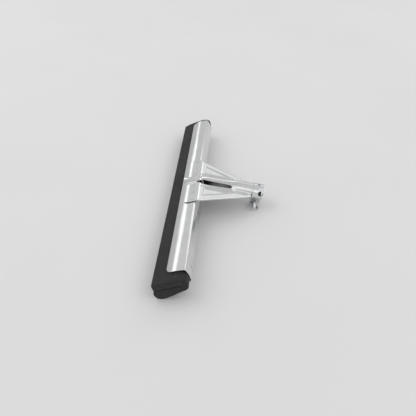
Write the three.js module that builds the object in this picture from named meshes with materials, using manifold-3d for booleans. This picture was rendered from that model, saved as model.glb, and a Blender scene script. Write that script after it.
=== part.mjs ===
// Floor squeegee head: a double-lip foam rubber blade in a folded steel channel, a two-piece
// pressed bracket that forms a handle socket, and a clamp collar closed by a bolt and wing nut.
// Millimetres, +Z up. X runs along the blade, -Y is the side of the lips, +Y the handle's side.
// The head lies as it does when put down: on the lower lip and on the ears of the collar.
import * as THREE from 'three';
import { mergeVertices } from 'three/addons/utils/BufferGeometryUtils.js';
import Module from 'manifold-3d';

const wasm = await Module();
wasm.setup();

// ---- driving dimensions -------------------------------------------------------------------
const GAP = 0.3; // clearance kept between touching pieces

// Blade: U runs from the mouth of the slot to the back, W is square to the blade.
const BLADE_TILT = THREE.MathUtils.degToRad(21);
const SLOT_MOUTH = new THREE.Vector3(0, -76.95, 14.2);
const BLADE_LENGTH = 450;
const LIP_TOP = 12.3; // from the slot to the upper face
const BLADE_BACK = 50.2; // where the channel's back wall presses
const BLADE_SWELL = 53; // the free ends are not pressed and stand further out
const BLADE_SKEW = 8; // the -X end is cut this much short at the lips
const SLOT_DEPTH = 44;
const SLOT_HALF = 0.5;

// Channel: outer face of the folded sheet.
const CHANNEL_LENGTH = 424;
const CHANNEL_SHIFT = -3; // the foam is slid a little towards +X in its channel
const CHANNEL_SHEET = 0.9;
const CHANNEL_LIP = new THREE.Vector2(21.8, 13.5);
const CHANNEL_RIDGE = new THREE.Vector2(34, 15.5);
const CHANNEL_BACK_TOP = new THREE.Vector2(51.7, 13.4);
const CHANNEL_BACK_MIDDLE = new THREE.Vector2(53.4, 3);
const CHANNEL_FOOT = new THREE.Vector2(52.9, -9.7);
const CHANNEL_LOWER_LIP = new THREE.Vector2(27.5, -15.8);
const RIDGE_REACH = 5; // half the length of the rounded ridge
const CHANNEL_CORNER = 2.4;
const LIP_CORNER_R = 11; // in plan, at both ends of the lip over the blade
const LANCE_AT = [-208, -75.5, 69.5, 190]; // tongues pressed through the back wall into the foam
const LANCE_LENGTH = 9;
const LANCE_TURN = THREE.MathUtils.degToRad(80);

// Bracket: S runs from its bend down the socket, in the plane of the wings.
const SHEET = 1.2;
const BEND = new THREE.Vector3(0, -31.25, 47.2);
const SOCKET_DROP = THREE.MathUtils.degToRad(11.2);
const SADDLE_FRONT = 29.6; // U of the bracket's front edge
const SADDLE_END = 52.6;
const SADDLE_HALF = 61;
const WING_START_HALF = 58.5;
const WING_TAPER = 0.432;
const WINGS_END = 90;
const SOCKET_END = 111;
const TUBE_R = 12.5;
const BEAD_HALF = 5.5;
const WINDOW_END = 56;
const FLARE = 9; // from the windows' end to the full round of the socket
const PANEL_START = 7;
const PANEL_DEPTH = 1.8;
const PANEL_WALL = 3;
const PANEL_INNER = 19.5;
const PANEL_MARGIN = 12;
const TROUGH_START_DEPTH = 21;
const TROUGH_CORNER = 4;
const TROUGH_CLEAR = 0.3; // from the bend to the trough's front edge, at the wings' level
const WALL_LEAN = 0.565; // how far the channel's back wall runs down the socket per unit of depth
const TROUGH_SQUARE_END = 88;

// Collar and its bolt, across the socket.
const COLLAR_START = 92.3;
const COLLAR_LENGTH = 18.2;
const COLLAR_SHEET = 1.4;
const COLLAR_R = TUBE_R + GAP;
const EAR_GAP = 5;
const EAR_R = 7;
const BOLT_DROP = 19.62; // from the socket's axis to the bolt's
const BOLT_R = 2.9;
const BOLT_S = COLLAR_START + COLLAR_LENGTH / 2;
const NAIL_HOLE_R = 1.8;
const SIDE_HOLE_R = 4; // in the collar, over a smaller one in the socket
const SCREW_HOLE_R = 3.4;
const SIDE_HOLE_TILT = THREE.MathUtils.degToRad(27);
const SIDE_HOLE_S = BOLT_S + 4.5;
const EAR_OUTSIDE = EAR_GAP / 2 + COLLAR_SHEET;
const BOLT_TIP = 23;
const WASHER_AT = EAR_OUTSIDE + GAP;
const WASHER_THICK = 1.2;
const WASHER_R = 5.4;
const WING_THICK = 2.2;
const WING_REACH = 9.9;
const WING_ANGLE = THREE.MathUtils.degToRad(-24);

// ---- materials ----------------------------------------------------------------------------
const foam = new THREE.MeshStandardMaterial({ color: 0x2c2c2d, roughness: 0.95, metalness: 0 });
const zinc = new THREE.MeshStandardMaterial({ color: 0xc6c8ca, roughness: 0.28, metalness: 1 });
const bright = new THREE.MeshStandardMaterial({ color: 0xd2d4d6, roughness: 0.2, metalness: 1 });

// ---- helpers ------------------------------------------------------------------------------
function toSolid(geometry) {
  const bare = geometry.clone();
  bare.deleteAttribute('normal');
  bare.deleteAttribute('uv');
  const merged = mergeVertices(bare, 1e-4);
  const vertProperties = new Float32Array(merged.attributes.position.array);
  const triVerts = new Uint32Array(merged.index.array);
  return new wasm.Manifold(new wasm.Mesh({ numProp: 3, vertProperties, triVerts }));
}

function toGeometry(solid) {
  const mesh = solid.getMesh();
  const geometry = new THREE.BufferGeometry();
  geometry.setAttribute('position', new THREE.BufferAttribute(mesh.vertProperties, 3));
  geometry.setIndex(new THREE.BufferAttribute(mesh.triVerts, 1));
  geometry.computeVertexNormals();
  return geometry;
}

function subtract(geometry, ...tools) {
  return toGeometry(tools.reduce((solid, tool) => solid.subtract(toSolid(tool)), toSolid(geometry)));
}

function named(name, geometry, material, parent) {
  const mesh = new THREE.Mesh(geometry, material);
  mesh.name = name;
  parent.add(mesh);
  return mesh;
}

// Extrudes an outline drawn in (Y, Z) along X, centred on X = 0.
function extrudeAlongX(outline, length) {
  const geometry = new THREE.ExtrudeGeometry(outline, { depth: length, bevelEnabled: false });
  geometry.translate(0, 0, -length / 2);
  const turn = new THREE.Matrix4().makeBasis(
    new THREE.Vector3(0, 1, 0),
    new THREE.Vector3(0, 0, 1),
    new THREE.Vector3(1, 0, 0),
  );
  return geometry.applyMatrix4(turn);
}

// Extrudes an outline drawn in (X, Z) along Y, from y = start.
function extrudeAlongY(outline, start, length) {
  const geometry = new THREE.ExtrudeGeometry(outline, { depth: length, bevelEnabled: false });
  const turn = new THREE.Matrix4().makeBasis(
    new THREE.Vector3(1, 0, 0),
    new THREE.Vector3(0, 0, 1),
    new THREE.Vector3(0, -1, 0),
  );
  return geometry.applyMatrix4(turn).translate(0, start + length, 0);
}

// The closed outline of a bent strip: a line of points and the same line set off to its right.
function stripOutline(points, thickness) {
  const inner = points.map((point, i) => {
    const before = points[Math.max(i - 1, 0)];
    const after = points[Math.min(i + 1, points.length - 1)];
    const along = after.clone().sub(before).normalize();
    return new THREE.Vector2(point.x + along.y * thickness, point.y - along.x * thickness);
  });
  return new THREE.Shape([...points, ...inner.reverse()]);
}

// Points of a polyline whose middle corners are rounded to the given reach.
function roundedLine(corners, reach, steps = 6) {
  const points = [corners[0]];
  for (let i = 1; i < corners.length - 1; i += 1) {
    const into = corners[i - 1].clone().sub(corners[i]).setLength(reach).add(corners[i]);
    const out = corners[i + 1].clone().sub(corners[i]).setLength(reach).add(corners[i]);
    points.push(...new THREE.QuadraticBezierCurve(into, corners[i], out).getPoints(steps));
  }
  return [...points, corners[corners.length - 1]];
}

// A sheet of even thickness under a grid of points: rows run along +Y, each row along +X.
// keep(row, column) tells which cells exist, so a false one is a hole or lies outside the edge.
function sheet(rows, thickness, keep = () => true) {
  const count = rows[0].length;
  const normalAt = (j, i) => {
    const across = rows[j][Math.min(i + 1, count - 1)].clone().sub(rows[j][Math.max(i - 1, 0)]);
    const ahead = rows[Math.min(j + 1, rows.length - 1)][i].clone();
    return across.cross(ahead.sub(rows[Math.max(j - 1, 0)][i])).normalize();
  };
  const upper = rows.flat();
  const lower = rows.flatMap((row, j) => row.map((point, i) => (
    point.clone().addScaledVector(normalAt(j, i), -thickness))));
  const index = [];
  const quad = (a, b, c, d) => index.push(a, b, c, a, c, d);
  const shift = upper.length;
  const exists = (j, i) => j >= 0 && i >= 0 && j < rows.length - 1 && i < count - 1 && keep(j, i);
  for (let j = 0; j < rows.length - 1; j += 1) {
    for (let i = 0; i < count - 1; i += 1) {
      if (exists(j, i)) {
        const corner = [j * count + i, j * count + i + 1, (j + 1) * count + i + 1, (j + 1) * count + i];
        const around = [[j - 1, i], [j, i + 1], [j + 1, i], [j, i - 1]];
        quad(...corner);
        quad(...corner.map((k) => k + shift).reverse());
        around.forEach(([row, column], side) => {
          const [from, to] = [corner[side], corner[(side + 1) % 4]];
          if (!exists(row, column)) quad(to, from, from + shift, to + shift);
        });
      }
    }
  }
  const geometry = new THREE.BufferGeometry().setFromPoints([...upper, ...lower]);
  geometry.setIndex(index);
  return geometry;
}

// Reads a height off a list of [position, height] stops, straight between neighbours.
function along(stops, at) {
  const last = stops.findIndex(([position]) => position >= at);
  if (last === 0) return stops[0][1];
  if (last < 0) return stops[stops.length - 1][1];
  const [[x0, y0], [x1, y1]] = [stops[last - 1], stops[last]];
  return THREE.MathUtils.lerp(y0, y1, (at - x0) / (x1 - x0));
}

// ---- foam blade ---------------------------------------------------------------------------
function bladeOutline(back) {
  const outline = new THREE.Shape();
  outline.moveTo(0.3, SLOT_HALF);
  outline.lineTo(1.2, LIP_TOP - 1.4);
  outline.quadraticCurveTo(1.3, LIP_TOP, 2.8, LIP_TOP);
  outline.lineTo(38, LIP_TOP);
  outline.bezierCurveTo(46, LIP_TOP - 0.5, back, 9, back, 3);
  outline.bezierCurveTo(back, -4, back - 2.2, -8, back - 7.2, -9.5);
  outline.lineTo(28, -13.8);
  outline.quadraticCurveTo(16, -17.6, 8, -17.51);
  outline.bezierCurveTo(2.4, -17.4, -2.4, -13.5, -2.4, -7.8);
  outline.quadraticCurveTo(-2.4, -1.9, 0.9, -SLOT_HALF);
  outline.lineTo(SLOT_DEPTH, -SLOT_HALF);
  outline.absarc(SLOT_DEPTH, 0, SLOT_HALF, -Math.PI / 2, Math.PI / 2, false);
  outline.lineTo(0.3, SLOT_HALF);
  return outline;
}

// A straight length of the blade from x = from to x = to, its back standing at U = back.
function bladeLength(back, from, to) {
  const outline = new THREE.Shape(bladeOutline(back).getPoints(7));
  return toSolid(extrudeAlongX(outline, to - from).translate((from + to) / 2, 0, 0));
}

function foamBlade() {
  const [half, held] = [BLADE_LENGTH / 2, CHANNEL_LENGTH / 2 + GAP];
  const nearEnd = bladeLength(BLADE_SWELL, held + CHANNEL_SHIFT, half);
  const farEnd = bladeLength(BLADE_SWELL, -half, CHANNEL_SHIFT - held);
  const skew = new THREE.Shape([[-5, 0], [BLADE_BACK, 0], [24, 1], [12, 3], [1, BLADE_SKEW],
    [-5, BLADE_SKEW + 3]].map(([u, x]) => new THREE.Vector2(x - half, u)));
  const cutter = new THREE.ExtrudeGeometry(skew, { depth: 2 * BLADE_SWELL, bevelEnabled: false });
  cutter.translate(0, 0, -BLADE_SWELL);
  const whole = bladeLength(BLADE_BACK, -half, half).add(nearEnd).add(farEnd);
  return toGeometry(whole.subtract(toSolid(cutter)));
}

// ---- channel ------------------------------------------------------------------------------
// Height of the channel's top face at U: two slopes that meet in a rounded ridge.
function channelTop(u) {
  const [lip, ridge, back] = [CHANNEL_LIP, CHANNEL_RIDGE, CHANNEL_BACK_TOP];
  const front = ridge.y + ((u - ridge.x) * (ridge.y - lip.y)) / (ridge.x - lip.x);
  const rear = ridge.y + ((u - ridge.x) * (back.y - ridge.y)) / (back.x - ridge.x);
  const t = THREE.MathUtils.clamp((u - ridge.x + RIDGE_REACH) / (2 * RIDGE_REACH), 0, 1);
  return THREE.MathUtils.lerp(front, rear, t);
}

function channelLine() {
  const top = [];
  const stations = [CHANNEL_LIP.x, 26, 29, 30.7, 32.3, 34, 35.7, 37.3, 39];
  stations.forEach((u) => top.push(new THREE.Vector2(u, channelTop(u))));
  const corners = [top.pop(), CHANNEL_BACK_TOP, CHANNEL_BACK_MIDDLE, CHANNEL_FOOT, CHANNEL_LOWER_LIP];
  return [...top, ...roundedLine(corners, CHANNEL_CORNER)];
}

// One cutter for a pressed tongue's slit, running down the back wall.
function lanceCutter(x) {
  const cutter = new THREE.BoxGeometry(LANCE_LENGTH, 4, 1.1);
  cutter.rotateY(LANCE_TURN);
  return cutter.translate(x - CHANNEL_SHIFT, CHANNEL_FOOT.x, -0.8);
}

// Trims the square corner off one end of the lip (side is +1 or -1 along X).
function lipCornerCutter(side) {
  const [end, lip, radius] = [CHANNEL_LENGTH / 2, CHANNEL_LIP.x, LIP_CORNER_R];
  const corner = new THREE.Shape();
  corner.moveTo(end + 1, lip - 1);
  corner.lineTo(end + 1, lip + radius);
  corner.lineTo(end, lip + radius);
  corner.absarc(end - radius, lip + radius, radius, 0, -Math.PI / 2, true);
  corner.lineTo(end - radius, lip - 1);
  const outline = corner.getPoints(8).map(({ x, y }) => new THREE.Vector2(side * x, y));
  const cutter = new THREE.ExtrudeGeometry(new THREE.Shape(outline), { depth: 20, bevelEnabled: false });
  return cutter.translate(0, 0, 2);
}

function bladeChannel() {
  const profile = stripOutline(channelLine(), CHANNEL_SHEET);
  const cutters = [...LANCE_AT.map(lanceCutter), ...[1, -1].map(lipCornerCutter)];
  return subtract(extrudeAlongX(profile, CHANNEL_LENGTH), ...cutters);
}

// ---- bracket ------------------------------------------------------------------------------
// Half-widths across the bracket's columns, from the socket's crown outwards.
const CROWN_ANGLES = [90, 76, 62, 48, 36];
const ROOT_ANGLES = [20, 6];

const HEIGHTS = [[0, 4.7], [12, 7.1], [30, 7.7], [44, 8.3], [58, 9.9], [70, 11.1], [78, 11.3]];
const STRAP_HALF = [[0, BEAD_HALF], [6, 6], [12, 6.8], [22, 7.5], [48, 7.8], [WINDOW_END, 8.8]];
const STRAP_EDGE = [[0, 0.4], [1.2, 2.8], [3, 4.2], [6, 4.8], [12, 5.3], [22, 5.6], [40, 5.9],
  [WINDOW_END, 6.3]];
const RIM = [[0, 0.3], [12, 0.4], [30, 1.4], [WINDOW_END, 2.2]];

function wingHalf(s) {
  return WING_START_HALF - WING_TAPER * s;
}

// The wing's columns outside the socket: crease, sunk panel, margin and turned-down edge.
function wingColumns(half, depth, fold) {
  const crease = Math.min(18, half - 4.5);
  const panelOuter = half - PANEL_MARGIN;
  const open = Math.max(panelOuter - PANEL_INNER, 0);
  const wall = Math.min(PANEL_WALL, open / 2);
  const sunk = -depth * Math.min(1, open / 6);
  const inner = Math.min(PANEL_INNER, THREE.MathUtils.lerp(crease, half - 4, 0.3));
  const outer = open > 0 ? panelOuter : THREE.MathUtils.lerp(inner, half - 4, 0.5);
  return [
    [crease, 0],
    [inner, 0],
    [inner + wall + 0.05, sunk],
    [outer - wall, sunk],
    [outer + 0.1, 0],
    [half - 3.6, 0],
    [half - 1.4, -0.45 * fold],
    [half, -2.4 * fold],
  ];
}

// Mirrors one half of a row, crown first, into a whole row along +X.
function wholeRow(half, place) {
  const left = half.slice(1).reverse().map(([x, h]) => place(-x, h));
  return [...left, ...half.map(([x, h]) => place(x, h))];
}

function saddleRow(u, half, beadHeight) {
  const bead = CROWN_ANGLES.map((_, k) => {
    const angle = ((CROWN_ANGLES.length - 1 - k) / (CROWN_ANGLES.length - 1)) * (Math.PI / 2);
    return [BEAD_HALF * Math.cos(angle), beadHeight * Math.sin(angle)];
  });
  const roots = [[9, 0], [TUBE_R + 0.2, 0]];
  const columns = [...bead, ...roots, ...wingColumns(half, 0, 0)];
  const w = channelTop(u) + GAP + SHEET;
  return wholeRow(columns, (x, h) => bladePoint(x, u, w + h));
}

function bladePoint(x, u, w) {
  const point = new THREE.Vector3(x, u, w);
  return point.applyAxisAngle(new THREE.Vector3(1, 0, 0), BLADE_TILT).add(SLOT_MOUTH);
}

// A point of the socket's frame: s down the socket, h square to the wings' upper face.
function socketPoint(x, s, h) {
  const point = new THREE.Vector3(x, s, h);
  return point.applyAxisAngle(new THREE.Vector3(1, 0, 0), -SOCKET_DROP).add(BEND);
}

function socketHalf(s) {
  const tubeArc = (degrees) => {
    const angle = THREE.MathUtils.degToRad(degrees);
    return [TUBE_R * Math.cos(angle), TUBE_R * Math.sin(angle) - SHEET];
  };
  const whole = [...CROWN_ANGLES, ...ROOT_ANGLES].map(tubeArc);
  if (s >= WINDOW_END + FLARE) return whole;
  const blend = THREE.MathUtils.smoothstep(s, WINDOW_END, WINDOW_END + FLARE);
  const [half, edge, top] = [along(STRAP_HALF, s), along(STRAP_EDGE, s), along(HEIGHTS, s)];
  const strap = CROWN_ANGLES.map((_, k) => {
    const share = k / (CROWN_ANGLES.length - 1);
    const angle = share * (Math.PI / 2) * 0.8;
    const drop = (1 - Math.cos(angle)) / (1 - Math.cos(Math.PI * 0.4));
    return [half * (Math.sin(angle) / Math.sin(Math.PI * 0.4)), top - (top - edge) * drop];
  });
  const rise = along(RIM, s);
  const rim = [[TUBE_R + 0.1, rise], [TUBE_R + 0.6, 0.65 * rise]];
  return [...strap, ...rim].map(([x, h], k) => [
    THREE.MathUtils.lerp(x, whole[k][0], blend),
    THREE.MathUtils.lerp(h, whole[k][1], blend),
  ]);
}

function socketRow(s) {
  const depth = PANEL_DEPTH * THREE.MathUtils.clamp((s - PANEL_START) / PANEL_WALL, 0, 1);
  const fold = THREE.MathUtils.clamp((s - 1) / 5, 0, 1);
  const wing = wingColumns(wingHalf(Math.min(s, WINGS_END)), depth, fold);
  return wholeRow([...socketHalf(s), ...wing], (x, h) => socketPoint(x, s, h));
}

function bracketUpper() {
  const saddle = [
    [SADDLE_FRONT, 47, 8.6], [30.4, 52, 8.4], [32, 56.6, 8.1], [35, 59.8, 7.3], [39, SADDLE_HALF, 6.4],
    [45, 60.4, 5.5], [SADDLE_END, 59.2, 4.7],
  ].map(([u, half, bead]) => saddleRow(u, half, bead));
  const stations = [0.4, 1.2, 3, 5, PANEL_START, PANEL_START + PANEL_WALL, 12, 17, 22, 30, 38, 46, 52,
    WINDOW_END, 60, WINDOW_END + FLARE, 70, 78, 85, WINGS_END, 91.5, 101, SOCKET_END];
  const rows = [...saddle, ...stations.map(socketRow)];
  const centre = (rows[0].length - 1) / 2;
  const edge = CROWN_ANGLES.length - 1;
  const outerTube = edge + ROOT_ANGLES.length;
  const firstWindow = saddle.length + 1;
  const lastWindow = saddle.length + stations.indexOf(WINDOW_END);
  const wingsEnd = saddle.length + stations.indexOf(WINGS_END);
  const keep = (j, i) => {
    const column = i < centre ? centre - 1 - i : i - centre;
    if (j >= wingsEnd && column >= outerTube) return false;
    return !(column === edge && j >= firstWindow && j < lastWindow);
  };
  const nailHole = new THREE.CylinderGeometry(NAIL_HOLE_R, NAIL_HOLE_R, 8, 16);
  nailHole.rotateX(Math.PI / 2 - SOCKET_DROP);
  nailHole.translate(...socketPoint(0, BOLT_S, TUBE_R - SHEET).toArray());
  const screwHole = sideHole(SCREW_HOLE_R).rotateX(-SOCKET_DROP);
  screwHole.translate(...socketPoint(0, 0, -SHEET).toArray());
  return subtract(sheet(rows, SHEET, keep), nailHole, screwHole);
}

// Half of the trough's section, inner face: flange, wall, rounded corner, middle of the bottom.
function troughHalf(depth, corner) {
  const side = TUBE_R - SHEET;
  const arc = [0, 0.17, 0.34, 0.5, 0.67, 0.84, 1].map((share) => {
    const angle = share * (Math.PI / 2);
    return [side - corner + corner * Math.cos(angle), corner - depth - corner * Math.sin(angle)];
  });
  return [[17.4, -1.6], [13.2, -1.6], [side, -2.7], ...arc.slice(1), [0, -depth]];
}

function troughRow(half, place) {
  const left = half.map(([x, h]) => place(-x, h));
  const right = half.slice(0, -1).reverse().map(([x, h]) => place(x, h));
  return [...left, ...right];
}

function bracketLower() {
  const side = TUBE_R - SHEET;
  const shares = [0, 0.15, 0.35, 0.6, 0.8, 1];
  const rows = shares.map((share) => {
    const depth = THREE.MathUtils.lerp(TROUGH_START_DEPTH, TUBE_R, Math.min(share * 1.1, 1));
    const start = (h) => TROUGH_CLEAR - h * WALL_LEAN;
    const at = (h) => THREE.MathUtils.lerp(start(h), TROUGH_SQUARE_END, share);
    return troughRow(troughHalf(depth, TROUGH_CORNER), (x, h) => socketPoint(x, at(h), h));
  });
  const round = troughHalf(side + SHEET, side - 0.01);
  [COLLAR_START - 1, 101, SOCKET_END].forEach((s) => {
    rows.push(troughRow(round, (x, h) => socketPoint(x, s, h)));
  });
  const last = rows[0].length - 2;
  const keep = (j, i) => j < shares.length - 1 || (i > 1 && i < last - 1);
  return sheet(rows, SHEET, keep);
}

// ---- collar, bolt, washer and wing nut: drawn across the socket in (X, H), H up -------------
function collarOutline() {
  const earX = EAR_GAP / 2;
  const lowest = -BOLT_DROP - EAR_R;
  const meet = Math.asin((earX + COLLAR_SHEET + 1.2) / COLLAR_R);
  const from = -Math.PI / 2 + meet;
  const inner = [new THREE.Vector2(earX, lowest), new THREE.Vector2(earX, -COLLAR_R - 0.9)];
  const steps = 40;
  for (let k = 0; k <= steps; k += 1) {
    const angle = from + (k / steps) * (2 * Math.PI - 2 * meet);
    inner.push(new THREE.Vector2(COLLAR_R * Math.cos(angle), COLLAR_R * Math.sin(angle)));
  }
  inner.push(new THREE.Vector2(-earX, -COLLAR_R - 0.9), new THREE.Vector2(-earX, lowest));
  return stripOutline(inner, COLLAR_SHEET);
}

function clampCollar() {
  const band = extrudeAlongY(collarOutline(), COLLAR_START, COLLAR_LENGTH);
  // The ears end in half rounds: everything outside this rounded slab is trimmed away.
  const slab = new THREE.Shape();
  const half = COLLAR_LENGTH / 2;
  const shoulder = -BOLT_DROP + 3;
  slab.moveTo(-half, 2 * TUBE_R);
  slab.lineTo(-half, shoulder);
  slab.quadraticCurveTo(-half, -BOLT_DROP - 2.5, -EAR_R + 2.6, -BOLT_DROP - EAR_R + 0.9);
  slab.quadraticCurveTo(0, -BOLT_DROP - EAR_R - 0.9, EAR_R - 2.6, -BOLT_DROP - EAR_R + 0.9);
  slab.quadraticCurveTo(half, -BOLT_DROP - 2.5, half, shoulder);
  slab.lineTo(half, 2 * TUBE_R);
  const envelope = extrudeAlongX(slab, 4 * TUBE_R).translate(0, BOLT_S, 0);
  const boltHole = acrossCylinder(BOLT_R + GAP, -20, 20).translate(0, BOLT_S, -BOLT_DROP);
  const nailHole = new THREE.CylinderGeometry(NAIL_HOLE_R, NAIL_HOLE_R, 10, 16);
  nailHole.rotateX(Math.PI / 2).translate(0, BOLT_S, TUBE_R);
  const trimmed = toSolid(band).intersect(toSolid(envelope));
  return subtract(toGeometry(trimmed), boltHole, nailHole, sideHole(SIDE_HOLE_R));
}

// A hole in the socket's +X side, drawn about the socket's axis.
function sideHole(radius) {
  const hole = new THREE.CylinderGeometry(radius, radius, 10, 20).rotateZ(Math.PI / 2);
  return hole.translate(COLLAR_R, 0, 0).rotateY(-SIDE_HOLE_TILT).translate(0, SIDE_HOLE_S, 0);
}

// A cylinder along X from x = from to x = to.
function acrossCylinder(radius, from, to, sides = 28) {
  const cylinder = new THREE.CylinderGeometry(radius, radius, to - from, sides);
  return cylinder.rotateZ(Math.PI / 2).translate((from + to) / 2, 0, 0);
}

// Turns a lathe profile of [radius, x] pairs about the X axis.
function turnedAlongX(profile, segments = 28) {
  const points = profile.map(([radius, x]) => new THREE.Vector2(radius, x));
  return new THREE.LatheGeometry(points, segments).rotateZ(-Math.PI / 2);
}

function clampBolt() {
  const seat = -(EAR_OUTSIDE + GAP);
  const head = [[0, seat - 3.6], [2.6, seat - 3.5], [4.2, seat - 2.7], [5.2, seat - 1.2]];
  const shank = [[5.3, seat], [BOLT_R, seat], [BOLT_R, BOLT_TIP - 0.8], [BOLT_R - 0.8, BOLT_TIP]];
  return turnedAlongX([...head, ...shank, [0, BOLT_TIP]]);
}

function clampWasher() {
  const [from, to] = [WASHER_AT, WASHER_AT + WASHER_THICK];
  const bore = BOLT_R + GAP;
  return turnedAlongX([[bore, from], [WASHER_R, from], [WASHER_R, to], [bore, to], [bore, from]]);
}

function wingNut() {
  const from = WASHER_AT + WASHER_THICK + GAP;
  const boss = turnedAlongX([[0, from], [5.4, from], [4.6, from + 6.4], [3.9, from + 7], [0, from + 7]]);
  const wing = new THREE.Shape();
  wing.moveTo(from + 0.6, 2);
  wing.lineTo(from + 0.8, 5.6);
  wing.bezierCurveTo(from + 3, 7, from + 5.5, WING_REACH, from + 9.5, WING_REACH);
  wing.bezierCurveTo(from + 13, WING_REACH - 0.2, from + 12.5, 6.4, from + 9.5, 5.8);
  wing.bezierCurveTo(from + 7.6, 5.4, from + 7, 4.6, from + 6.6, 2);
  const blade = new THREE.ExtrudeGeometry(wing, { depth: WING_THICK, bevelEnabled: false });
  blade.translate(0, 0, -WING_THICK / 2);
  const other = blade.clone().rotateX(Math.PI);
  const bore = acrossCylinder(BOLT_R + GAP, from - 5, from + 12);
  const solid = toSolid(boss).add(toSolid(blade)).add(toSolid(other));
  return toGeometry(solid.subtract(toSolid(bore))).rotateX(WING_ANGLE);
}

// ---- assembly -----------------------------------------------------------------------------
const squeegee = new THREE.Group();

const blade = new THREE.Group();
blade.position.copy(SLOT_MOUTH);
blade.rotation.x = BLADE_TILT;
squeegee.add(blade);
named('foam_blade', foamBlade(), foam, blade);
named('blade_channel', bladeChannel(), zinc, blade).position.x = CHANNEL_SHIFT;

const bracket = new THREE.Group();
bracket.position.x = CHANNEL_SHIFT;
squeegee.add(bracket);
named('bracket_upper', bracketUpper(), zinc, bracket);
named('bracket_lower', bracketLower(), zinc, bracket);

const clamp = new THREE.Group();
clamp.position.copy(BEND);
clamp.rotation.x = -SOCKET_DROP;
clamp.translateZ(-SHEET);
bracket.add(clamp);
named('clamp_collar', clampCollar(), bright, clamp);

const fastener = new THREE.Group();
fastener.position.set(0, BOLT_S, -BOLT_DROP);
clamp.add(fastener);
named('clamp_bolt', clampBolt(), bright, fastener);
named('clamp_washer', clampWasher(), bright, fastener);
named('wing_nut', wingNut(), bright, fastener);

export default squeegee;
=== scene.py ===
"""Looks of the floor squeegee head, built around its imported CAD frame.

Metres, in the CAD frame: X runs along the blade, -Y is the side of the lips, +Z is up.
Profiles are written in millimetres. U and W are the blade's own axes (U from the mouth of the
slot to the back, W square to it); S and H are the socket's (S down the socket, H square to it).
"""
import math

import bmesh
import bpy
from mathutils import Matrix, Vector, noise

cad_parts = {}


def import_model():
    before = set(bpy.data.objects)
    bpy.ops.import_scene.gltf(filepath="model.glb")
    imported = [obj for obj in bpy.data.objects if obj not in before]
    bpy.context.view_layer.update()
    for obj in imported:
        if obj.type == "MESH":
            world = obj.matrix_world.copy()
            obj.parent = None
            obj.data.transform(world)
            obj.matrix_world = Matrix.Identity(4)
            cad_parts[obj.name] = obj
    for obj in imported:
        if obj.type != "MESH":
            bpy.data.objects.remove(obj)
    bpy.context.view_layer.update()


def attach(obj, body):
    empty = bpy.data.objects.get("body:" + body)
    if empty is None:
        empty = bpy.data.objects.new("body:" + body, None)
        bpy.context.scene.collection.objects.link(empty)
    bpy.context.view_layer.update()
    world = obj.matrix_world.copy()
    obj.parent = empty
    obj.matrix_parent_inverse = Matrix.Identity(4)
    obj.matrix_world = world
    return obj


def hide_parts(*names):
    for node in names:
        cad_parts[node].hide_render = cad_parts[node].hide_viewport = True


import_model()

MM = 0.001
scene = bpy.context.scene

# ---- dimensions shared with the CAD, in millimetres ------------------------------------------
BLADE_TILT = math.radians(21)
SLOT_MOUTH = (-76.95, 14.2)
BLADE_HALF = 225
BLADE_BACK = 50.2
BLADE_SWELL = 53.0
LIP_TOP = 12.3
SLOT_HALF = 0.5
SLOT_DEPTH = 44
BLADE_SKEW = 8
SKEW_START = 180

SHIFT = -3.0
CHANNEL_HALF = 212
CHANNEL_SHEET = 0.9
LIP_U, LOWER_LIP_U = 22.3, 27.5
LIP_CORNER_R = 11
LANCE_AT = (-208, -75.5, 69.5, 190)

SHEET = 1.2
BEND = (-31.25, 47.2)
SOCKET_DROP = math.radians(11.2)
SADDLE_HALF = 61
SADDLE_END = 52.6
WING_START_HALF = 58.5
WING_TAPER = 0.432
WINGS_END = 90
SOCKET_END = 111
TUBE_R = 12.5
BEAD_HALF = 5.5
WINDOW_END = 56
FLARE = 9
TROUGH_CLEAR = 0.4
WALL_LEAN = 0.565
TROUGH_DEPTH = 21
TROUGH_SQUARE_END = 88

COLLAR_START = 92.3
COLLAR_LENGTH = 18.2
COLLAR_SHEET = 1.4
COLLAR_R = 12.8
EAR_GAP = 5
EAR_R = 7
BOLT_DROP = 19.62
BOLT_R = 2.9
BOLT_S = COLLAR_START + COLLAR_LENGTH / 2
EAR_OUTSIDE = EAR_GAP / 2 + COLLAR_SHEET
BOLT_TIP = 23
GAP = 0.3
STUDIO_R = 2.2
THREAD_PITCH = 1.0
THREAD_DEPTH = 0.42
SIDE_HOLE_R = 4.5
SCREW_HOLE_R = 3.8
SIDE_HOLE_TILT = math.radians(22)
SIDE_HOLE_S = BOLT_S + 4.1


# ---- small geometry helpers ------------------------------------------------------------------
def lerp(a, b, t):
    return a + (b - a) * t


def clamp01(t):
    return min(max(t, 0.0), 1.0)


def smooth(t):
    t = clamp01(t)
    return t * t * (3 - 2 * t)


def along(stops, at):
    """Reads a value off a list of (position, value) stops, straight between neighbours."""
    for (x0, y0), (x1, y1) in zip(stops, stops[1:]):
        if at <= x1:
            return lerp(y0, y1, clamp01((at - x0) / (x1 - x0)))
    return stops[-1][1]


def blade_point(x, u, w):
    y = SLOT_MOUTH[0] + u * math.cos(BLADE_TILT) - w * math.sin(BLADE_TILT)
    z = SLOT_MOUTH[1] + u * math.sin(BLADE_TILT) + w * math.cos(BLADE_TILT)
    return Vector((x, y, z)) * MM


def socket_point(x, s, h):
    y = BEND[0] + s * math.cos(SOCKET_DROP) + h * math.sin(SOCKET_DROP)
    z = BEND[1] - s * math.sin(SOCKET_DROP) + h * math.cos(SOCKET_DROP)
    return Vector((x + SHIFT, y, z)) * MM


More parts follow.
